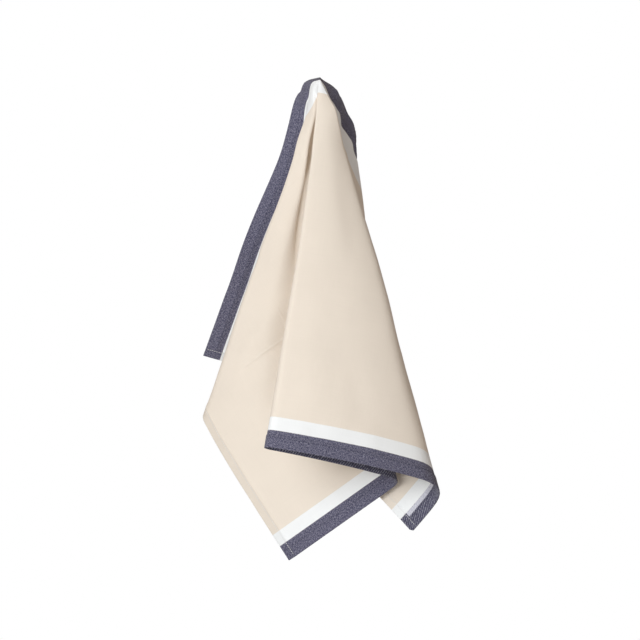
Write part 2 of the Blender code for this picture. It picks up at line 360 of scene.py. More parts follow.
ELSEWHERE = Vector((7.0, 3.0, 1.0))
RELIEF_FROM = 0.020
RELIEF_GROWS_OVER = 0.060


def rise_of(crease, u, v):
    """How far one crease moves a flat point forward."""
    du, dv = crease.end[0] - crease.start[0], crease.end[1] - crease.start[1]
    length = math.hypot(du, dv)
    along = ((u - crease.start[0]) * du + (v - crease.start[1]) * dv) / length
    aside = abs((u - crease.start[0]) * dv - (v - crease.start[1]) * du) / length
    if aside > CREASE_REACH * crease.width or not -crease.width < along < length + crease.width:
        return 0.0
    run_in = CREASE_TAPER * length + crease.width
    taper = ease((along + crease.width) / run_in) * ease((length + crease.width - along) / run_in)
    return crease.rise * taper * math.exp(-(aside / crease.width) ** 2)


def relief(u, v):
    """All creases and the general unevenness at a flat point."""
    total = sum(rise_of(crease, u, v) for crease in CREASES)
    here = Vector((u, v, 0.0)) / UNEVEN_LENGTH
    total += UNEVEN_RISE * (noise.noise(here) + 0.5 * noise.noise(here * FINER + ELSEWHERE))
    return total * ease((math.hypot(u, v) - RELIEF_FROM) / RELIEF_GROWS_OVER)


print("deepest trough down one line:", f"{1000 * min(relief(-0.31, 0.05 * k) for k in range(9)):.1f} mm")

# %% [markdown]
# A crease moves the cloth along its own normal. The normal is found from two short steps on the flat
# cloth, which lead towards its middle so that they never leave it. The stitches, which are placed later,
# use the very same surface.

# %% Cloth surface with its normal
NORMAL_STEP = 0.0006
STEPS_MEET_AT = 0.2


def frame_at(u, v):
    """Place of a flat point with the directions along u, down v and out of the front face."""
    back_u = 1.0 if u > 0.0 else -1.0
    back_v = 1.0 if v > STEPS_MEET_AT else -1.0
    here = hung_point(u, v)
    along = (here - hung_point(u - back_u * NORMAL_STEP, v)) * back_u
    down = (here - hung_point(u, v - back_v * NORMAL_STEP)) * back_v
    front = down.cross(along)
    if front.length < 1e-12:
        front = Vector((0.0, -1.0, 0.0))
    return here, along.normalized(), down.normalized(), front.normalized()


def cloth_frame(u, v):
    """The same, with creases."""
    here, along, down, front = frame_at(u, v)
    return here + front * relief(u, v), along, down, front


print("front face at mid height looks to", [round(x, 2) for x in cloth_frame(0.03, 0.25)[3]])

# %% [markdown]
# ## A mesh that follows the pleats
# The mesh of the flat towel is a fan: its columns run out from the hang point, so they lie along the
# folds, and its rows keep a fixed distance from the towel's edges near the hems, so that a hem's
# step has a row of its own on each side. Eight narrow columns go round each fold, and between the folds
# no column turns by more than fourteen degrees. The fan is made with the grid operator, and the
# grid's points are then moved to their flat places.

# %% Columns and rows of the fan
COLUMNS_ROUND_A_FOLD = 8
WIDEST_COLUMN = 0.80
LARGEST_TURN = 14.0
ROWS_TO_THE_HEMS = 84
ROW_CROWDING = 1.30
HEM_STEP = 0.0008
HEM_ROWS = (0.0180, END_HEM + HEM_STEP, END_HEM, 0.0143, SIDE_HEM + HEM_STEP, SIDE_HEM,
            0.0090, 0.0060, 0.0030, 0.0008, 0.0)
BORDER_ROWS = (0.0, 0.0010, 0.0040, 0.0070, 0.0100, 0.0130, END_HEM, END_HEM + HEM_STEP, NAVY_BORDER)
LEFT_CORNER = -math.degrees(math.atan2(LEFT_OF_HANG_POINT, BELOW_HANG_POINT))
RIGHT_CORNER = math.degrees(math.atan2(RIGHT_OF_HANG_POINT, BELOW_HANG_POINT))
ROW_COUNT = ROWS_TO_THE_HEMS + len(HEM_ROWS) - 1
ROUNDS_TO_SETTLE = 4
MERGE_DISTANCE = 2e-6


def reach(flat, inset):
    """Distance from the hang point along a flat angle to a line that far inside the towel's edge."""
    angle = math.radians(flat)
    down = math.cos(angle)
    side = abs(math.sin(angle))
    width = LEFT_OF_HANG_POINT if flat < 0.0 else RIGHT_OF_HANG_POINT
    to_bottom = (BELOW_HANG_POINT - inset) / down if down > 1e-6 else math.inf
    to_side = (width - inset) / side if side > 1e-6 else math.inf
    return min(to_bottom, to_side)


def row_radius(flat, row):
    """Distance from the hang point of a row on a flat angle."""
    if row >= ROWS_TO_THE_HEMS:
        return reach(flat, HEM_ROWS[row - ROWS_TO_THE_HEMS])
    return reach(flat, HEM_ROWS[0]) * (row / ROWS_TO_THE_HEMS) ** ROW_CROWDING


def column_stops():
    """Columns as (station, share of the way to the next station)."""
    stops = []
    for i, row in enumerate(STATIONS[:-1]):
        span = STATIONS[i + 1].flat - row.flat
        turn = max(abs(after - before) for before, after in zip(row[3:], STATIONS[i + 1][3:]))
        cells = max(math.ceil(span / WIDEST_COLUMN), math.ceil(turn / LARGEST_TURN))
        cells = COLUMNS_ROUND_A_FOLD if i in FOLD_STARTS else cells
        stops += [(i, n / cells) for n in range(cells)]
        for corner in (LEFT_CORNER, RIGHT_CORNER):
            share = (corner - row.flat) / span
            if 0.0 < share < 1.0:
                these = range(len(stops) - cells, len(stops))
                nearest = min(these, key=lambda n: abs(stops[n][1] - share))
                stops[nearest] = (i, share)
    return stops + [(len(STATIONS) - 2, 1.0)]


def flat_place(stop, row):
    """Flat point of a row on a column that keeps to its own face or fold all the way down."""
    i, share = stop
    flat = STATIONS[i].flat + (STATIONS[i + 1].flat - STATIONS[i].flat) * share
    for _ in range(ROUNDS_TO_SETTLE):
        radius = row_radius(flat, row)
        flats, _ = stations_at(radius)
        flat = flats[i] + (flats[i + 1] - flats[i]) * share
    angle = math.radians(flat)
    return radius * math.sin(angle), radius * math.cos(angle)


COLUMN_STOPS = column_stops()
print(len(COLUMN_STOPS), "columns and", ROW_COUNT + 1, "rows")

# %% [markdown]
# The border beyond the hang point's level is a plain strip on each side. Its columns are the
# fan's rows, so the edges meet point for point and can be merged into one cloth.

# %% The flat towel as one mesh
def add_grid(mesh, columns, rows, place_of):
    """Add a grid and move each of its points to place_of(column, row), which gives a flat point."""
    grid = bmesh.ops.create_grid(mesh, x_segments=columns, y_segments=rows, size=1.0)
    for vert in grid["verts"]:
        column = round((vert.co.x + 1.0) * 0.5 * columns)
        row = round((1.0 - vert.co.y) * 0.5 * rows)
        u, v = place_of(column, row)
        vert.co = Vector((u, 0.0, -v))


def left_border(column, row):
    """Flat point of the border strip left of the hang point."""
    return -row_radius(-90.0, ROW_COUNT - column), BORDER_ROWS[row] - NAVY_BORDER


def right_border(column, row):
    """Flat point of the border strip right of the hang point."""
    return row_radius(90.0, column), BORDER_ROWS[row] - NAVY_BORDER


def flat_towel():
    """The towel laid out flat, its front towards the viewer."""
    mesh = bmesh.new()
    add_grid(mesh, len(COLUMN_STOPS) - 1, ROW_COUNT, lambda c, r: flat_place(COLUMN_STOPS[c], r))
    add_grid(mesh, ROW_COUNT, len(BORDER_ROWS) - 1, left_border)
    add_grid(mesh, ROW_COUNT, len(BORDER_ROWS) - 1, right_border)
    bmesh.ops.remove_doubles(mesh, verts=mesh.verts, dist=MERGE_DISTANCE)
    bmesh.ops.recalc_face_normals(mesh, faces=mesh.faces)
    if sum(face.normal.y for face in mesh.faces) > 0.0:
        bmesh.ops.reverse_faces(mesh, faces=mesh.faces)
    return mesh


cloth_mesh = flat_towel()
flat_area = sum(face.calc_area() for face in cloth_mesh.faces)
print(len(cloth_mesh.faces), "faces, flat area", round(flat_area, 4), "square metres")

# %% [markdown]
# ## Flat sizes kept as a UV map
# The stripes, weave and hems belong to the cloth, not to the space that it hangs in. So the flat sizes are
# stored in a UV map before the towel is hung, and every material below reads them in metres. That
# way a stripe follows each fold, as it does on real cloth.

# %% Keep the flat sizes, then hang the towel
ROUNDING = 1e-5

flat_map = cloth_mesh.loops.layers.uv.new("flat_sizes")
for face in cloth_mesh.faces:
    for loop in face.loops:
        loop[flat_map].uv = (loop.vert.co.x, -loop.vert.co.z)

in_hems = set()
for vert in cloth_mesh.verts:
    u, v = vert.co.x, -vert.co.z
    from_side = min(LEFT_OF_HANG_POINT + u, RIGHT_OF_HANG_POINT - u)
    from_end = min(v + NAVY_BORDER, BELOW_HANG_POINT - v)
    hemmed = from_side < SIDE_HEM + ROUNDING or from_end < END_HEM + ROUNDING
    if hemmed and math.hypot(u, v) > GATHERED_RADIUS:
        in_hems.add(vert.index)
    vert.co = cloth_frame(u, v)[0]
hung_area = sum(face.calc_area() for face in cloth_mesh.faces)
print("hung area is", round(hung_area / flat_area, 3), "of the flat area")

# %% [markdown]
# ## Thickness, and hems of doubled cloth
# A turned hem is two or three layers of the same cloth, so it stands proud with a small step on both
# faces. Solidify makes the thickness: a vertex group marks the hems, and outside it the thickness
# falls to that of one layer. The face that Solidify adds behind gets a material slot of its own,
# because the back of the towel shows the turned hems and the floats of the weave.

# %% Give the cloth its thickness
CLOTH_THICKNESS = 0.0009
HEM_THICKNESS = 0.0021

towel_data = bpy.data.meshes.new("hung_towel")
cloth_mesh.to_mesh(towel_data)
cloth_mesh.free()
towel_data.shade_smooth()
towel = bpy.data.objects.new("hung_towel", towel_data)
bpy.context.collection.objects.link(towel)
hems = towel.vertex_groups.new(name="hems")
hems.add(sorted(in_hems), 1.0, "REPLACE")
thickness = towel.modifiers.new("cloth_and_hem_thickness", "SOLIDIFY")
thickness.thickness = HEM_THICKNESS
thickness.offset = 0.0
thickness.use_even_offset = False
thickness.vertex_group = hems.name
thickness.thickness_vertex_group = CLOTH_THICKNESS / HEM_THICKNESS
thickness.material_offset = 1
thickness.material_offset_rim = 2
print(len(in_hems), "points lie in the hems")

# %% [markdown]
# ## Shared effects of the woven cloth
# The front, the back and the hem edges are three finishes of one cloth, so what they share is made once as
# shader node groups. Small helpers keep the node trees readable: one adds a maths node, one adds a
# group of its own. Everything is measured in metres on the flat cloth.

# %% Node helpers
def new_group(name, sockets_in, sockets_out):
    """A shader node group with named inputs and outputs, given as (name, type, default)."""
    group = bpy.data.node_groups.new(name, "ShaderNodeTree")
    for label, kind, default in sockets_in:
        socket = group.interface.new_socket(label, in_out="INPUT", socket_type=kind)
        if default is not None:
            socket.default_value = default
    for label, kind in sockets_out:
        group.interface.new_socket(label, in_out="OUTPUT", socket_type=kind)
    return group, group.nodes.new("NodeGroupInput"), group.nodes.new("NodeGroupOutput")


def feed(tree, socket, value):
    """Link an output to a socket, or set the socket to a plain value."""
    if isinstance(value, bpy.types.NodeSocket):
        tree.links.new(value, socket)
    else:
        socket.default_value = value


def math_node(tree, operation, *values):
    """A maths node; returns its output."""
    node = tree.nodes.new("ShaderNodeMath")
    node.operation = operation
    for socket, value in zip(node.inputs, values):
        feed(tree, socket, value)
    return node.outputs[0]


def mix_colours(tree, share, first, second):
    """A colour mix; returns its output."""
    node = tree.nodes.new("ShaderNodeMix")
    node.data_type = "RGBA"
    feed(tree, node.inputs[0], share)
    feed(tree, node.inputs[6], first)
    feed(tree, node.inputs[7], second)
    return node.outputs[2]


def stretch(tree, vector, along_u, along_v, shift=0.0):
    """The flat place, scaled differently along u and v."""
    node = tree.nodes.new("ShaderNodeMapping")
    feed(tree, node.inputs["Vector"], vector)
    node.inputs["Scale"].default_value = (along_u, along_v, 1.0)
    node.inputs["Location"].default_value = (shift, shift, shift)
    return node.outputs[0]


def noise_value(tree, vector, scale, detail=2.0, roughness=0.5):
    """Noise from 0 to 1 at a place."""
    node = tree.nodes.new("ShaderNodeTexNoise")
    node.noise_dimensions = "2D"
    feed(tree, node.inputs["Vector"], vector)
    node.inputs["Scale"].default_value = scale
    node.inputs["Detail"].default_value = detail
    node.inputs["Roughness"].default_value = roughness
    return node.outputs[0]


def remap(tree, value, low, high, to_low=0.0, to_high=1.0, kind="LINEAR"):
    """A value moved from one range to another, and held there."""
    node = tree.nodes.new("ShaderNodeMapRange")
    node.interpolation_type = kind
    feed(tree, node.inputs[0], value)
    for socket, bound in zip(node.inputs[1:5], (low, high, to_low, to_high)):
        feed(tree, socket, bound)
    return node.outputs[0]


def place_group(tree, group, **values):
    """One use of a node group, with its own values; underscores stand for spaces."""
    node = tree.nodes.new("ShaderNodeGroup")
    node.node_tree = group
    for label, value in values.items():
        feed(tree, node.inputs[label.replace("_", " ")], value)
    return node


print("node helpers ready")

# %% [markdown]
# ### Plain weave
# In a plain weave each yarn goes over one and under one. Two sets of round ridges, one along u and one
# along v, take turns on a checkerboard, and the higher one shows. Hand-sized noise, stretched far
# along each yarn direction, makes some yarns thicker: these slubs give cotton its quiet streaks.

# %% Plain weave group
def make_plain_weave():
    """Yarn height and slub tone of a plain weave."""
    group, given, result = new_group(
        "plain_weave",
        [("Flat", "NodeSocketVector", None), ("Yarn Pitch", "NodeSocketFloat", 0.0005)],
        [("Height", "NodeSocketFloat"), ("Slub", "NodeSocketFloat")])
    split = group.nodes.new("ShaderNodeSeparateXYZ")
    feed(group, split.inputs[0], given.outputs["Flat"])
    turns = math_node(group, "DIVIDE", math.pi, given.outputs["Yarn Pitch"])
    wave_u = math_node(group, "SINE", math_node(group, "MULTIPLY", split.outputs[0], turns))
    wave_v = math_node(group, "SINE", math_node(group, "MULTIPLY", split.outputs[1], turns))
    board = math_node(group, "MULTIPLY", wave_u, wave_v)
    show_warp = remap(group, board, -0.25, 0.25, kind="SMOOTHSTEP")
    warp = math_node(group, "ABSOLUTE", wave_u)
    weft = math_node(group, "ABSOLUTE", wave_v)
    part_warp = math_node(group, "MULTIPLY", warp, show_warp)
    part_weft = math_node(group, "MULTIPLY", weft, math_node(group, "SUBTRACT", 1.0, show_warp))
    weave = math_node(group, "ADD", part_warp, part_weft)
    slub_u = noise_value(group, stretch(group, given.outputs["Flat"], 22.0, 900.0), 1.0, 3.0)
    slub_v = noise_value(group, stretch(group, given.outputs["Flat"], 900.0, 22.0, 5.0), 1.0, 3.0)
    slub = math_node(group, "MULTIPLY", math_node(group, "ADD", slub_u, slub_v), 0.5)
    height = math_node(group, "ADD", math_node(group, "MULTIPLY", weave, 0.5), slub)
    feed(group, result.inputs["Height"], height)
    feed(group, result.inputs["Slub"], slub)
    return group


PLAIN_WEAVE = make_plain_weave()
print(PLAIN_WEAVE.name, "has", len(PLAIN_WEAVE.nodes), "nodes")

# %% [markdown]
# ### Heathered yarn
# The navy border is woven from navy yarn crossed with pale yarn, so from a step away it looks greyed and
# speckled. Short dashes of the pale yarn are made with two noises, one stretched along each yarn
# direction. A yarn's edge is a little soft, so that the dashes don't look printed.

# %% Heathered yarn group
YARN_EDGE = 0.13


def make_heathered_yarn():
    """Colour of a cloth whose dark and pale yarns show in turn."""
    group, given, result = new_group(
        "heathered_yarn",
        [("Flat", "NodeSocketVector", None), ("Dark", "NodeSocketColor", (0.1, 0.1, 0.14, 1.0)),
         ("Pale", "NodeSocketColor", (0.3, 0.3, 0.36, 1.0)), ("Pale Share", "NodeSocketFloat", 0.5)],
        [("Colour", "NodeSocketColor"), ("Pale Yarn", "NodeSocketFloat")])
    flat = given.outputs["Flat"]
    weft_dashes = noise_value(group, stretch(group, flat, 420.0, 1500.0), 1.0, 2.0, 0.6)
    warp_dashes = noise_value(group, stretch(group, flat, 1500.0, 420.0, 3.0), 1.0, 2.0, 0.6)
    dashes = math_node(group, "ADD", weft_dashes, warp_dashes)
    level = math_node(group, "SUBTRACT", 1.5, given.outputs["Pale Share"])
    pale = remap(group, dashes, math_node(group, "SUBTRACT", level, YARN_EDGE),
                 math_node(group, "ADD", level, YARN_EDGE), kind="SMOOTHSTEP")
    feed(group, result.inputs["Colour"],
         mix_colours(group, pale, given.outputs["Dark"], given.outputs["Pale"]))
    feed(group, result.inputs["Pale Yarn"], pale)
    return group


HEATHERED_YARN = make_heathered_yarn()
print(HEATHERED_YARN.name, "has", len(HEATHERED_YARN.nodes), "nodes")

# %% [markdown]
# ### Stripes
# A woven stripe starts and ends where the weaver changed the yarn, so its edge is straight but not
# razor sharp: it wavers by a fraction of a yarn. The group gives a mask between two places on the cloth.

# %% Stripe group
def make_woven_stripe():
    """Mask of a stripe between two places across the cloth."""
    group, given, result = new_group(
        "woven_stripe",
        [("Across", "NodeSocketFloat", 0.0), ("From", "NodeSocketFloat", 0.0),
         ("To", "NodeSocketFloat", 0.01), ("Softness", "NodeSocketFloat", 0.0004)],
        [("Mask", "NodeSocketFloat")])
    soft = given.outputs["Softness"]
    ends = []
    for bound in (given.outputs["From"], given.outputs["To"]):
        low = math_node(group, "SUBTRACT", bound, soft)
        high = math_node(group, "ADD", bound, soft)
        ends.append(remap(group, given.outputs["Across"], low, high, kind="SMOOTHSTEP"))
    mask = math_node(group, "MULTIPLY", ends[0], math_node(group, "SUBTRACT", 1.0, ends[1]))
    feed(group, result.inputs["Mask"], mask)
    return group


WOVEN_STRIPE = make_woven_stripe()
print(WOVEN_STRIPE.name, "has", len(WOVEN_STRIPE.nodes), "nodes")

# %% [markdown]
# ### Twill ribs of the turned hem
# The hem that is turned to the back shows the border's other side, with the diagonal ribs of a twill.
# A sine of the flat place along a diagonal makes the ribs, and noise lets some of them fade.

# %% Twill group
def make_twill_ribs():
    """Height and shade of the diagonal ribs."""
    group, given, result = new_group(
        "twill_ribs",
        [("Flat", "NodeSocketVector", None), ("Rib Pitch", "NodeSocketFloat", 0.0014)],
        [("Height", "NodeSocketFloat"), ("Rib", "NodeSocketFloat")])
    split = group.nodes.new("ShaderNodeSeparateXYZ")
    feed(group, split.inputs[0], given.outputs["Flat"])
    diagonal = math_node(group, "SUBTRACT", math_node(group, "MULTIPLY", split.outputs[0], 0.85),
                         math_node(group, "MULTIPLY", split.outputs[1], 0.55))
    waver = noise_value(group, given.outputs["Flat"], 240.0, 2.0)
    turns = math_node(group, "DIVIDE", 2.0 * math.pi, given.outputs["Rib Pitch"])
    phase = math_node(group, "ADD", math_node(group, "MULTIPLY", diagonal, turns),
                      math_node(group, "MULTIPLY", waver, 1.6))
    rib = remap(group, math_node(group, "SINE", phase), -1.0, 1.0)
    fade = remap(group, noise_value(group, given.outputs["Flat"], 420.0, 1.0), 0.35, 0.65, 0.45, 1.0)
    feed(group, result.inputs["Height"], rib)
    feed(group, result.inputs["Rib"], remap(group, math_node(group, "MULTIPLY", rib, fade), 0.35, 0.95))
    return group


TWILL_RIBS = make_twill_ribs()
print(TWILL_RIBS.name, "has", len(TWILL_RIBS.nodes), "nodes")

# %% [markdown]
# ### Fine pressed creases
# Some creases are only a few millimetres wide: the thin lines that an iron leaves. They are too fine for the
# mesh, so each is a line on the flat cloth with a narrow ridge beside it, added to the bump height.

# %% Pressed crease group
def make_pressed_crease():
    """Height of a narrow crease along a line on the flat cloth."""
    group, given, result = new_group(
        "pressed_crease",
        [("Flat", "NodeSocketVector", None), ("Start", "NodeSocketVector", None),
         ("End", "NodeSocketVector", None), ("Width", "NodeSocketFloat", 0.0015)],
        [("Height", "NodeSocketFloat")])

    def vector_node(operation, *values, output=0):
        node = group.nodes.new("ShaderNodeVectorMath")
        node.operation = operation
        for socket, value in zip(node.inputs, values):
            feed(group, socket, value)
        return node.outputs[output]

    run = vector_node("SUBTRACT", given.outputs["End"], given.outputs["Start"])
    here = vector_node("SUBTRACT", given.outputs["Flat"], given.outputs["Start"])
    dot = vector_node("DOT_PRODUCT", run, here, output=1)
    square = vector_node("DOT_PRODUCT", run, run, output=1)
    share = math_node(group, "DIVIDE", dot, square)
    scaled = group.nodes.new("ShaderNodeVectorMath")
    scaled.operation = "SCALE"
    feed(group, scaled.inputs[0], run)
    feed(group, scaled.inputs[3], share)
    aside = vector_node("LENGTH", vector_node("SUBTRACT", here, scaled.outputs[0]), output=1)
    ridge = remap(group, math_node(group, "DIVIDE", aside, given.outputs["Width"]), 0.0, 1.0, 1.0, 0.0,
                  "SMOOTHSTEP")
    ends = math_node(group, "MULTIPLY", remap(group, share, -0.1, 0.25, kind="SMOOTHSTEP"),
                     remap(group, share, 0.75, 1.1, 1.0, 0.0, "SMOOTHSTEP"))
    feed(group, result.inputs["Height"], math_node(group, "MULTIPLY", ridge, ends))
    return group


PRESSED_CREASE = make_pressed_crease()
print(PRESSED_CREASE.name, "has", len(PRESSED_CREASE.nodes), "nodes")

# %% [markdown]
# ### Seams
# A row of stitches pulls the cloth down into a shallow groove, and the doubled hem beside it puckers a
# little. The group takes the distance to the seam and the distance along it.

# %% Seam pull group
def make_seam_pull():
    """Groove and puckers beside a row of stitches."""
    group, given, result = new_group(
        "seam_pull",
        [("Aside", "NodeSocketFloat", 0.0), ("Along", "NodeSocketFloat", 0.0),
         ("Width", "NodeSocketFloat", 0.0012)],
        [("Height", "NodeSocketFloat"), ("Groove", "NodeSocketFloat")])
    near = math_node(group, "DIVIDE", math_node(group, "ABSOLUTE", given.outputs["Aside"]),
                     given.outputs["Width"])
    groove = remap(group, near, 0.0, 1.0, 1.0, 0.0, "SMOOTHSTEP")
    spread = remap(group, near, 0.0, 6.0, 1.0, 0.0, "SMOOTHSTEP")
    line = group.nodes.new("ShaderNodeCombineXYZ")
    feed(group, line.inputs[0], given.outputs["Along"])
    pucker = noise_value(group, line.outputs[0], 190.0, 1.0)
    puckers = math_node(group, "MULTIPLY", math_node(group, "MULTIPLY", pucker, spread), 1.2)
    feed(group, result.inputs["Height"], math_node(group, "SUBTRACT", puckers, groove))
    feed(group, result.inputs["Groove"], groove)
    return group


SEAM_PULL = make_seam_pull()
print(SEAM_PULL.name, "has", len(SEAM_PULL.nodes), "nodes")

# %% [markdown]
# ## The finish of the front
# The front reads its colour from v alone: navy, white, cream, white, navy. The boundaries are softened by
# less than a millimetre. A slow noise keeps the cream from being one flat colour, as washed cotton is
# never quite even. Colours are what the cloth reflects, not what the picture shows, so they are a little
# darker than the brightest tones in the picture.

# %% Colours and stripes
CREAM = (0.780, 0.687, 0.588, 1.0)
WHITE = (0.845, 0.845, 0.840, 1.0)
NAVY_DARK = (0.050, 0.047, 0.086, 1.0)
NAVY_PALE = (0.215, 0.206, 0.272, 1.0)
LAVENDER_DARK = (0.330, 0.320, 0.385, 1.0)
LAVENDER_PALE = (0.600, 0.590, 0.650, 1.0)
RIB_PALE = (0.460, 0.450, 0.520, 1.0)
END_SEAM = 0.0135
SIDE_SEAM = 0.0100
PAST_THE_EDGE = 0.001
STRIPE_WAVER = 0.0005

FineCrease = namedtuple("FineCrease", "place start end width strength")

FINE_CREASES = (
    FineCrease("short line of the old fold", (-0.2210, 0.1960), (-0.2290, 0.2330), 0.0022, 0.55),
    FineCrease("long line of the old fold", (-0.2210, 0.2340), (-0.3120, 0.2370), 0.0026, 0.85),
    FineCrease("line above the old fold", (-0.1850, 0.1360), (-0.2050, 0.1500), 0.0024, 0.30),
    FineCrease("line beside the long trough", (0.1500, 0.2850), (0.2020, 0.4000), 0.0040, 0.35),
    FineCrease("line towards the left corner", (-0.3100, 0.2750), (-0.3420, 0.3350), 0.0040, 0.30),
)


def flat_places(tree):
    """The flat place as a vector, and its u and v."""
    node = tree.nodes.new("ShaderNodeUVMap")
    node.uv_map = "flat_sizes"
    split = tree.nodes.new("ShaderNodeSeparateXYZ")
    feed(tree, split.inputs[0], node.outputs[0])
    return node.outputs[0], split.outputs[0], split.outputs[1]


def stripe_mask(tree, v, start, end):
    """Mask of one stripe."""
    return place_group(tree, WOVEN_STRIPE, Across=v, From=start, To=end).outputs["Mask"]


def band_masks(tree, flat, v, inset, width):
    """Mask of the two bands that lie this far inside the long edges."""
    uneven = math_node(tree, "SUBTRACT", noise_value(tree, flat, 900.0, 1.0), 0.5)
    v = math_node(tree, "ADD", v, math_node(tree, "MULTIPLY", uneven, STRIPE_WAVER))
    past = PAST_THE_EDGE if inset == 0.0 else 0.0
    top = stripe_mask(tree, v, inset - NAVY_BORDER - past, inset + width - NAVY_BORDER)
    bottom = stripe_mask(tree, v, BELOW_HANG_POINT - inset - width, BELOW_HANG_POINT - inset + past)
    return math_node(tree, "ADD", top, bottom)


def side_hem_mask(tree, u):
    """Mask of the two side hems."""
    left = stripe_mask(tree, u, -LEFT_OF_HANG_POINT - PAST_THE_EDGE, SIDE_HEM - LEFT_OF_HANG_POINT)
    right = stripe_mask(tree, u, RIGHT_OF_HANG_POINT - SIDE_HEM, RIGHT_OF_HANG_POINT + PAST_THE_EDGE)
    return math_node(tree, "ADD", left, right)


def seams(tree, u, v):
    """Height and groove of all four seams."""
    heights, grooves = [], []
    for across, along, place in (
            (v, u, END_SEAM - NAVY_BORDER), (v, u, BELOW_HANG_POINT - END_SEAM),
            (u, v, SIDE_SEAM - LEFT_OF_HANG_POINT), (u, v, RIGHT_OF_HANG_POINT - SIDE_SEAM)):
        node = place_group(tree, SEAM_PULL, Aside=math_node(tree, "SUBTRACT", across, place), Along=along)
        heights.append(node.outputs["Height"])
        grooves.append(node.outputs["Groove"])
    height = math_node(tree, "ADD", math_node(tree, "ADD", heights[0], heights[1]),
                       math_node(tree, "ADD", heights[2], heights[3]))
    groove = math_node(tree, "MAXIMUM", math_node(tree, "MAXIMUM", grooves[0], grooves[1]),
                       math_node(tree, "MAXIMUM", grooves[2], grooves[3]))
    return height, groove


print("stripes:", NAVY_BORDER, "navy,", WHITE_STRIPE, "white")

# %% [markdown]
# Both faces end in the same way: a matt cotton shader with a soft sheen, whose bump takes the weave, the
# seams and the pressed creases. The colour differs. Both faces also get painted shade in their base colour:
# it is darker in the seam grooves, and along the side hems, where the cloth is doubled, a little more on
# the front than on the back. One helper finishes both.

# %% Cotton shader
YARN_PITCH = 0.0005
BUMP_DEPTH = 0.0005
WEAVE_RELIEF = 0.30
SEAM_RELIEF = 0.35
# How much the seam grooves are darkened in the base colour: painted shade.
SEAM_PAINTED_SHADE = 0.03
# How much the side hems are darkened in the base colour on each face: painted shade.
FRONT_HEM_PAINTED_SHADE = 0.09
BACK_HEM_PAINTED_SHADE = 0.02


def cotton_material(name):
    """A matt cotton material; returns it with its tree and shader."""
    material = bpy.data.materials.new(name)
    material.use_nodes = True
    tree = material.node_tree
    shader = tree.nodes["Principled BSDF"]
    shader.inputs["Metallic"].default_value = 0.0
    shader.inputs["Specular IOR Level"].default_value = 0.25
    shader.inputs["Sheen Weight"].default_value = 0.12
    shader.inputs["Sheen Roughness"].default_value = 0.6
    return material, tree, shader


def add_bump(tree, shader, height, distance):
    """Bump from a height in turns of the given distance."""
    bump = tree.nodes.new("ShaderNodeBump")
    bump.inputs["Strength"].default_value = 1.0
    bump.inputs["Distance"].default_value = distance
    feed(tree, bump.inputs["Height"], height)
    feed(tree, shader.inputs["Normal"], bump.outputs[0])


def finish_cotton(tree, shader, flat, u, v, colour, painted_hem_shade, ribs=None):
    """Uneven tone, painted shade in the seam grooves and side hems, roughness and bump that the front and
    the back share.
    """
    weave = place_group(tree, PLAIN_WEAVE, Flat=flat, Yarn_Pitch=YARN_PITCH)
    seam_height, groove = seams(tree, u, v)
    slow = noise_value(tree, flat, 14.0, 3.0)
    tone = math_node(tree, "ADD", remap(tree, slow, 0.3, 0.7, 0.985, 1.010),
                     remap(tree, weave.outputs["Slub"], 0.35, 0.65, -0.010, 0.010))
    # Painted shade: the base colour is darkened in the seam grooves.
    tone = math_node(tree, "SUBTRACT", tone, math_node(tree, "MULTIPLY", groove, SEAM_PAINTED_SHADE))
    # Painted shade: the base colour is darkened along the side hems.
    tone = math_node(tree, "SUBTRACT", tone, math_node(tree, "MULTIPLY", side_hem_mask(tree, u), painted_hem_shade))
    shade = tree.nodes.new("ShaderNodeMix")
    shade.data_type = "RGBA"
    shade.blend_type = "MULTIPLY"
    shade.inputs[0].default_value = 1.0
    grey = tree.nodes.new("ShaderNodeCombineColor")
    for socket in grey.inputs[:3]:
        feed(tree, socket, tone)
    feed(tree, shade.inputs[6], colour)
    feed(tree, shade.inputs[7], grey.outputs[0])
    feed(tree, shader.inputs["Base Color"], shade.outputs[2])
    feed(tree, shader.inputs["Roughness"], remap(tree, weave.outputs["Slub"], 0.3, 0.7, 0.82, 0.95))
    height = math_node(tree, "MULTIPLY", weave.outputs["Height"], WEAVE_RELIEF)
    height = math_node(tree, "ADD", height, math_node(tree, "MULTIPLY", seam_height, SEAM_RELIEF))
    if ribs is not None:
        height = math_node(tree, "ADD", height, ribs)
    for line in FINE_CREASES:
        crease = place_group(tree, PRESSED_CREASE, Flat=flat, Start=(*line.start, 0.0), End=(*line.end, 0.0),
                             Width=line.width)
        ridge = math_node(tree, "MULTIPLY", crease.outputs["Height"], line.strength)
        height = math_node(tree, "ADD", height, ridge)
    add_bump(tree, shader, height, BUMP_DEPTH)


FRONT_PALE_SHARE = 0.46


def make_front():
    """Front of the towel."""
    material, tree, shader = cotton_material("cream_cotton_front")
    flat, u, v = flat_places(tree)
    navy = place_group(tree, HEATHERED_YARN, Flat=flat, Dark=NAVY_DARK, Pale=NAVY_PALE,
                       Pale_Share=FRONT_PALE_SHARE)
    colour = mix_colours(tree, band_masks(tree, flat, v, NAVY_BORDER, WHITE_STRIPE), CREAM, WHITE)
    colour = mix_colours(tree, band_masks(tree, flat, v, 0.0, NAVY_BORDER), colour, navy.outputs["Colour"])
    finish_cotton(tree, shader, flat, u, v, colour, painted_hem_shade=FRONT_HEM_PAINTED_SHADE)
    return material


FRONT = make_front()
print(FRONT.name, "has", len(FRONT.node_tree.nodes), "nodes")

# %% [markdown]
# ## The finish of the back
# On the back, the long hems are turned over by sixteen millimetres and show ribbed navy twill. Between the
# hem and the white stripe there is a narrow strip of the border's back, where the pale yarns lie on
# top, so it looks lavender. At the corners the turned side hem covers that strip, so it is navy there
# too.

# %% Back of the towel
RIB_PITCH = 0.0029
RIB_SHOWS = 0.62
RIB_RELIEF = 0.5
RIBBED_PALE_SHARE = 0.22
LAVENDER_PALE_SHARE = 0.62


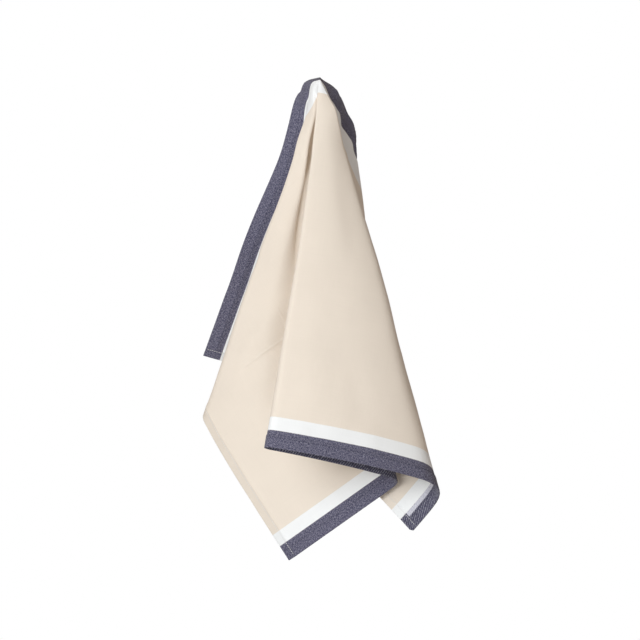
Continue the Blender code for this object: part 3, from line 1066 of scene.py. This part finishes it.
def make_back():
    """Back of the towel."""
    material, tree, shader = cotton_material("cream_cotton_back")
    flat, u, v = flat_places(tree)
    twill = place_group(tree, TWILL_RIBS, Flat=flat, Rib_Pitch=RIB_PITCH)
    navy = place_group(tree, HEATHERED_YARN, Flat=flat, Dark=NAVY_DARK, Pale=NAVY_PALE,
                       Pale_Share=RIBBED_PALE_SHARE)
    ribbed = mix_colours(tree, math_node(tree, "MULTIPLY", twill.outputs["Rib"], RIB_SHOWS),
                         navy.outputs["Colour"], RIB_PALE)
    lavender = place_group(tree, HEATHERED_YARN, Flat=flat, Dark=LAVENDER_DARK, Pale=LAVENDER_PALE,
                           Pale_Share=LAVENDER_PALE_SHARE)
    in_side_hem = side_hem_mask(tree, u)
    hem = band_masks(tree, flat, v, 0.0, END_HEM)
    border = band_masks(tree, flat, v, 0.0, NAVY_BORDER)
    colour = mix_colours(tree, band_masks(tree, flat, v, NAVY_BORDER, WHITE_STRIPE), CREAM, WHITE)
    colour = mix_colours(tree, border, colour, lavender.outputs["Colour"])
    navy_here = math_node(tree, "MAXIMUM", hem, math_node(tree, "MULTIPLY", border, in_side_hem))
    colour = mix_colours(tree, navy_here, colour, ribbed)
    ribs_here = math_node(tree, "MULTIPLY", twill.outputs["Height"], navy_here)
    ribs = math_node(tree, "MULTIPLY", ribs_here, RIB_RELIEF)
    finish_cotton(tree, shader, flat, u, v, colour, painted_hem_shade=BACK_HEM_PAINTED_SHADE, ribs=ribs)
    return material


BACK = make_back()
print(BACK.name, "has", len(BACK.node_tree.nodes), "nodes")

# %% [markdown]
# ## The edge
# The rim of the cloth is the fold of each hem. It has the border's heathered navy along the long edges and
# the stripes' own colours along the sides, so the front's material serves there too.

# %% Give the towel its materials
towel.data.materials.append(FRONT)
towel.data.materials.append(BACK)
towel.data.materials.append(FRONT)
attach(towel, "root")
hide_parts("towel_cloth")
print("materials:", [m.name for m in towel.data.materials])

# %% [markdown]
# ## Stitches
# The hems are machine-sewn: the long ones with navy thread, the side ones with pale thread that shows
# as a light line where it crosses the navy border. Each stitch is a small bead of thread, half sunk
# in the cloth, on both faces. A stitch is so small that five sides are enough for it. The gathered tip
# has no stitches of its own, because its folds hide them.

# %% Place the stitches
STITCH_PITCH = 0.0030
STITCH_LENGTH = 0.0026
THREAD_THICKNESS = 0.0007
THREAD_FLATTENING = 0.9
END_GAP = 0.0015
STITCHES_FROM = GATHERED_RADIUS + 0.004
RUN_OF_STITCHES = 12

Seam = namedtuple("Seam", "name runs_along at start end")

NAVY_SEAMS = (
    Seam("held edge", "u", END_SEAM - NAVY_BORDER, -LEFT_OF_HANG_POINT, RIGHT_OF_HANG_POINT),
    Seam("bottom edge", "u", BELOW_HANG_POINT - END_SEAM, -LEFT_OF_HANG_POINT, RIGHT_OF_HANG_POINT),
)
PALE_SEAMS = (
    Seam("left side", "v", SIDE_SEAM - LEFT_OF_HANG_POINT, -NAVY_BORDER, BELOW_HANG_POINT),
    Seam("right side", "v", RIGHT_OF_HANG_POINT - SIDE_SEAM, -NAVY_BORDER, BELOW_HANG_POINT),
)


def add_stitch(mesh, middle, along, outward):
    """One bead of thread."""
    along = (along - outward * along.dot(outward)).normalized()
    beside = along.cross(outward)
    half = 0.5 * THREAD_THICKNESS
    axes = Matrix((beside * half, outward * half * THREAD_FLATTENING, along * 0.5 * STITCH_LENGTH))
    turned = axes.transposed().to_4x4()
    bmesh.ops.create_uvsphere(mesh, u_segments=5, v_segments=4, radius=1.0,
                              matrix=Matrix.Translation(middle) @ turned)


def add_some_stitches(mesh, seam, first, last):
    """A short run of a seam, added to the mesh, on both faces."""
    run = bmesh.new()
    for k in range(first, last):
        place = seam.start + END_GAP + STITCH_PITCH * (k + 0.5)
        u, v = (place, seam.at) if seam.runs_along == "u" else (seam.at, place)
        if math.hypot(u, v) < STITCHES_FROM:
            continue
        here, along_u, down, front = cloth_frame(u, v)
        along = along_u if seam.runs_along == "u" else down
        for face in (1.0, -1.0):
            add_stitch(run, here + front * face * (0.5 * HEM_THICKNESS), along, front * face)
    short = bpy.data.meshes.new("run_of_stitches")
    run.to_mesh(short)
    run.free()
    mesh.from_mesh(short)
    bpy.data.meshes.remove(short)


def sew(name, rows_of_stitches, material):
    """All stitches of some seams as one piece. Short runs are faster to make than one long one."""
    mesh = bmesh.new()
    count = 0
    for seam in rows_of_stitches:
        steps = int((seam.end - seam.start - 2.0 * END_GAP) / STITCH_PITCH)
        for first in range(0, steps, RUN_OF_STITCHES):
            add_some_stitches(mesh, seam, first, min(first + RUN_OF_STITCHES, steps))
        count += steps
    data = bpy.data.meshes.new(name)
    mesh.to_mesh(data)
    mesh.free()
    data.materials.append(material)
    data.shade_smooth()
    piece = bpy.data.objects.new(name, data)
    bpy.context.collection.objects.link(piece)
    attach(piece, "root")
    print(name, count, "stitches")
    return piece


# %% [markdown]
# Sewing thread is two yarns twisted together, so it is smoother than the cloth and a little shinier. Its
# tone changes faintly from stitch to stitch.

# %% Thread materials
NAVY_THREAD = (0.040, 0.040, 0.072, 1.0)
PALE_THREAD = (0.800, 0.780, 0.760, 1.0)
SHADED_THREAD = 0.72
STRAND_DEPTH = 0.00012


def make_thread(name, colour):
    """Twisted cotton thread."""
    material, tree, shader = cotton_material(name)
    place = tree.nodes.new("ShaderNodeTexCoord")
    strands = noise_value(tree, place.outputs["Object"], 1800.0, 1.0)
    slow = noise_value(tree, place.outputs["Object"], 160.0, 1.0)
    darker = tuple(SHADED_THREAD * x for x in colour[:3]) + (1.0,)
    feed(tree, shader.inputs["Base Color"],
         mix_colours(tree, remap(tree, math_node(tree, "ADD", strands, slow), 0.7, 1.3), darker, colour))
    shader.inputs["Roughness"].default_value = 0.6
    add_bump(tree, shader, strands, STRAND_DEPTH)
    return material


navy_stitches = sew("navy_hem_stitches", NAVY_SEAMS, make_thread("navy_thread", NAVY_THREAD))
pale_stitches = sew("pale_hem_stitches", PALE_SEAMS, make_thread("pale_thread", PALE_THREAD))

# %% [markdown]
# ## Studio
# The photograph is a cut-out on white, taken level with the towel from some way off. A long lens from five
# metres gives the same picture. The camera's width of view is worked out so that one pixel is 1.26
# millimetres at the hang point. The light is one large soft source from the front left, a weaker one
# from the right, and warm surroundings. The camera sees those surroundings as plain white.

# %% Camera
SENSOR_WIDTH = 36.0
PIXELS_ACROSS = 640.0
PIXEL = 0.0012613
CAMERA_DISTANCE = 5.0
CAMERA_HEIGHT = -0.3027

camera_data = bpy.data.cameras.new("photo_camera")
camera_data.sensor_width = SENSOR_WIDTH
camera_data.lens = SENSOR_WIDTH * CAMERA_DISTANCE / (PIXELS_ACROSS * PIXEL)
camera_data.clip_start = 0.1
camera_data.clip_end = 100.0
camera = bpy.data.objects.new("photo_camera", camera_data)
camera.location = (0.0, -CAMERA_DISTANCE, CAMERA_HEIGHT)
camera.rotation_euler = (math.radians(90.0), 0.0, 0.0)
bpy.context.collection.objects.link(camera)
bpy.context.scene.camera = camera
print("lens", round(camera_data.lens), "mm")

# %% Lights, surroundings and floor
Lamp = namedtuple("Lamp", "name place size watts")

LAMPS = (
    Lamp("key_softbox", (-1.55, -3.45, 0.48), 2.1, 128.0),
    Lamp("fill_softbox", (2.6, -2.9, -0.2), 2.0, 8.0),
)
LAMP_COLOUR = (0.895, 0.957, 1.0)
SURROUNDINGS = (1.0, 0.86, 0.74, 1.0)
SURROUNDINGS_STRENGTH = 0.33
SEEN_WHITE = (1.0, 1.0, 1.0, 1.0)
MIDDLE_OF_TOWEL = Vector((0.0, 0.0, -0.32))

for lamp in LAMPS:
    light_data = bpy.data.lights.new(lamp.name, "AREA")
    light_data.shape = "DISK"
    light_data.size = lamp.size
    light_data.energy = lamp.watts
    light_data.color = LAMP_COLOUR
    light = bpy.data.objects.new(lamp.name, light_data)
    light.location = lamp.place
    light.rotation_euler = (MIDDLE_OF_TOWEL - Vector(lamp.place)).to_track_quat("-Z", "Y").to_euler()
    bpy.context.collection.objects.link(light)

world = bpy.data.worlds.new("white_studio")
world.use_nodes = True
bpy.context.scene.world = world
sky = world.node_tree
sky.nodes["Background"].inputs["Color"].default_value = SURROUNDINGS
sky.nodes["Background"].inputs["Strength"].default_value = SURROUNDINGS_STRENGTH
seen = sky.nodes.new("ShaderNodeBackground")
seen.inputs["Strength"].default_value = 1.0
seen.inputs["Color"].default_value = SEEN_WHITE
choose = sky.nodes.new("ShaderNodeMixShader")
rays = sky.nodes.new("ShaderNodeLightPath")
sky.links.new(rays.outputs["Is Camera Ray"], choose.inputs[0])
sky.links.new(sky.nodes["Background"].outputs[0], choose.inputs[1])
sky.links.new(seen.outputs[0], choose.inputs[2])
sky.links.new(choose.outputs[0], sky.nodes["World Output"].inputs["Surface"])
bpy.context.scene.view_settings.view_transform = "Standard"

FLOOR_LEVEL = -1.25
FLOOR_RADIUS = 5.0
FLOOR_COLOUR = (0.85, 0.85, 0.85, 1.0)

floor_mesh = bmesh.new()
bmesh.ops.create_circle(floor_mesh, cap_ends=True, segments=96, radius=FLOOR_RADIUS,
                        matrix=Matrix.Translation((0.0, 0.0, FLOOR_LEVEL)))
floor_data = bpy.data.meshes.new("studio_floor")
floor_mesh.to_mesh(floor_data)
floor_mesh.free()
floor = bpy.data.objects.new("studio_floor", floor_data)
bpy.context.collection.objects.link(floor)
floor_material = bpy.data.materials.new("pale_floor")
floor_material.use_nodes = True
floor_shader = floor_material.node_tree.nodes["Principled BSDF"]
floor_shader.inputs["Base Color"].default_value = FLOOR_COLOUR
floor_shader.inputs["Roughness"].default_value = 0.7
floor_data.materials.append(floor_material)
print(len(LAMPS), "lamps, floor at", FLOOR_LEVEL)
